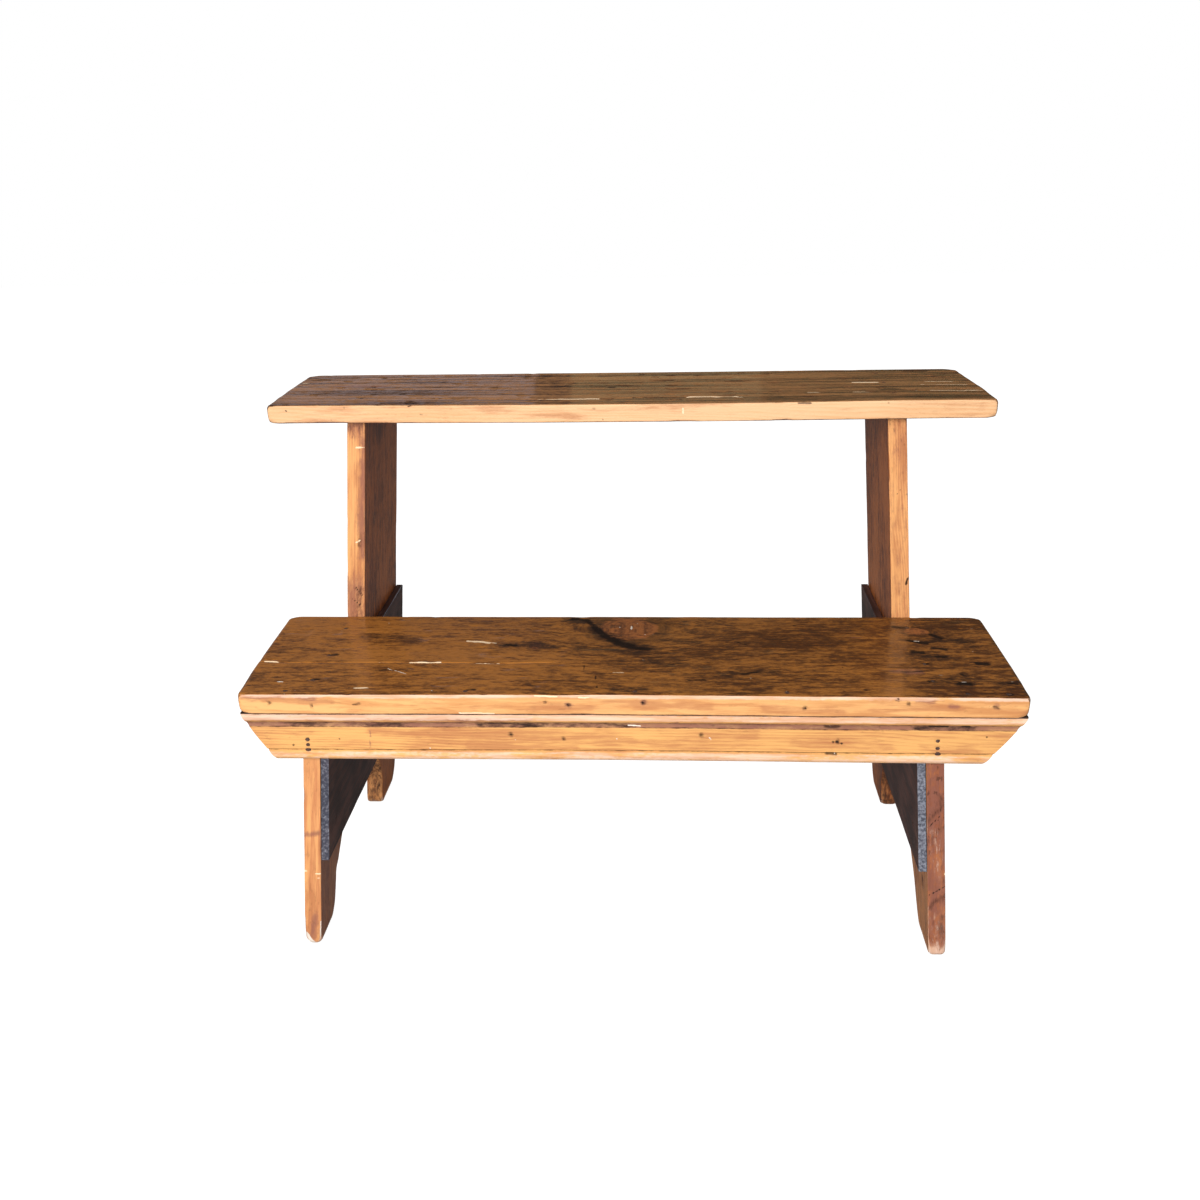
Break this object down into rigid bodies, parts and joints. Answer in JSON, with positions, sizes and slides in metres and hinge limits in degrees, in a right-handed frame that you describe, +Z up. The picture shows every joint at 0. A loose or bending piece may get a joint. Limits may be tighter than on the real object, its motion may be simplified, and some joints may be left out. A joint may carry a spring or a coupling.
{
  "type": "bucket bench",
  "caption": "Stepped pine bucket bench: a low moulded front shelf and a taller back shelf on splayed board ends with arched feet, joined by inner cleats and cut nails.",
  "frame": {"origin": "on the floor, under the middle of the bench's overall length and depth", "axes": "+X along the shelves to the right as seen from the front, +Y to the back where the tall shelf is, +Z up"},
  "size_m": [1.0498, 0.523, 0.716],
  "materials": {
    "shelf_pine": "old glossy shellac, worn through at the edges",
    "apron_pine": "old amber varnish, grimy in the moulding",
    "end_pine": "old red-brown varnish, worn pale at the feet",
    "black_paint": "flat black paint, chipped at the arrises",
    "nail_iron": "blackened, lightly rusted iron"
  },
  "bodies": {
    "root": {"upper_shelf": "shelf_pine", "lower_shelf": "shelf_pine", "front_apron": "apron_pine", "left_front_leg": "end_pine", "right_front_leg": "end_pine", "left_rear_upright": "end_pine", "right_rear_upright": "end_pine", "left_inner_cleat": "black_paint", "right_inner_cleat": "black_paint", "left_upper_shelf_nails": "nail_iron", "right_upper_shelf_nails": "nail_iron", "left_lower_shelf_nails": "nail_iron", "right_lower_shelf_nails": "nail_iron", "left_apron_nails": "nail_iron", "right_apron_nails": "nail_iron", "apron_top_nails": "nail_iron", "left_cleat_nails": "nail_iron", "right_cleat_nails": "nail_iron"}
  },
  "joints": []
}
